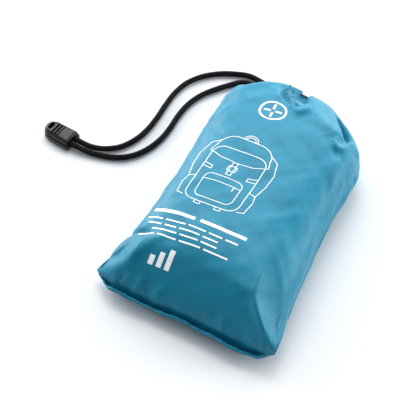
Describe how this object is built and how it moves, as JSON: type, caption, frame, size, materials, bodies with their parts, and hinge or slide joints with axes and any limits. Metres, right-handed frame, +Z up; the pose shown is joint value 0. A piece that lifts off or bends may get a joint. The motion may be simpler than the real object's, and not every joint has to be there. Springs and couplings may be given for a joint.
{
  "type": "packable backpack stowed in drawstring pouch",
  "caption": "Packable backpack folded in its drawstring pouch, lying flat: a soft cloth pillow with a sewn base, its mouth gathered by a cord whose strands end in a moulded cord end.",
  "frame": {"origin": "on the surface that the pouch lies on, under the middle of the pouch, at its flattened underside", "axes": "+X across the pouch, to the right when it is seen from its base with the printed side up; +Y from the sewn base to the gathered mouth; +Z up through the printed side"},
  "size_m": [0.1867, 0.193, 0.038],
  "materials": {
    "pouch_cloth": "thin teal polyester with a fine ripstop weave and a soft sheen",
    "backpack_cloth": "the same thin teal polyester, folded",
    "drawcord": "black braided polyester cord",
    "cord_end_plastic": "black moulded plastic, fine satin texture"
  },
  "bodies": {
    "root": {"pouch_body": "pouch_cloth", "hem_channel_front": "pouch_cloth", "hem_channel_back": "pouch_cloth", "folded_backpack": "backpack_cloth", "drawcord_loop": "drawcord", "drawcord_strand_a": "drawcord", "drawcord_strand_b": "drawcord", "cord_end_cover": "cord_end_plastic", "cord_end_base": "cord_end_plastic"}
  },
  "joints": []
}
